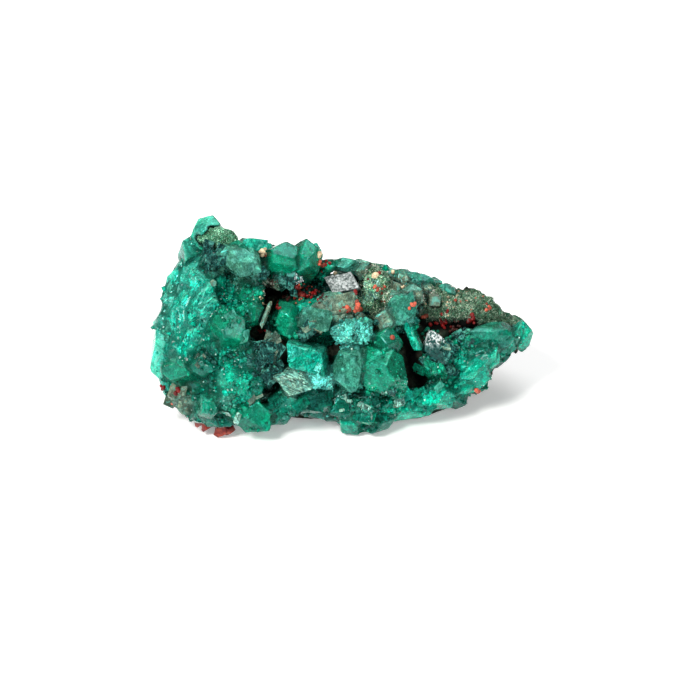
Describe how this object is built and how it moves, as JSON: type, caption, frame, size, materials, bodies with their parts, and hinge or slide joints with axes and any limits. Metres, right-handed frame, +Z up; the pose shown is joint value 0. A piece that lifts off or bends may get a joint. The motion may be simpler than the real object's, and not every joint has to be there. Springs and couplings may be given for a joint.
{
  "type": "dioptase mineral specimen",
  "caption": "Hand-sized mineral specimen: a thick crust of green dioptase crystals grown together over dark matrix rock, cut flat underneath so that it rests with its crystal face leaning back.",
  "frame": {"origin": "centre of the bounding box in plan, on the surface that the specimen rests on", "axes": "+X along the specimen's length from its thick end to its tapered end, +Z up, the crystal face looks towards -Y and leans back"},
  "size_m": [0.0582, 0.0254, 0.0293],
  "materials": {
    "dioptase": "vitreous translucent crystal, emerald to turquoise green",
    "dark_crystal": "dark grey-green crystal with bright reflecting faces",
    "pale_crystal": "pale grey speckled crystal",
    "moss_coating": "fine olive-green needles over a crystal, matt",
    "matrix_rock": "rough dark matrix rock with a coat of fine olive and brown needles, matt",
    "red_crystal": "small orange-red crystals, slightly glossy"
  },
  "bodies": {
    "root": {"matrix": "matrix_rock", "dioptase_crust": "dioptase", "moss_capped_crystal": "moss_coating", "speckled_crystal": "pale_crystal", "blade_crystal": "pale_crystal", "lace_crystal": "dark_crystal", "slope_crystal_1": "dark_crystal", "slope_crystal_2": "dark_crystal", "slope_crystal_3": "dark_crystal", "slope_crystal_4": "dioptase", "slope_crystal_5": "dioptase", "red_crystals_hollow": "red_crystal", "red_crystals_ridge": "red_crystal", "red_crystals_left_edge": "red_crystal", "red_crystals_left_foot": "red_crystal", "red_crystals_foot": "red_crystal"}
  },
  "joints": []
}
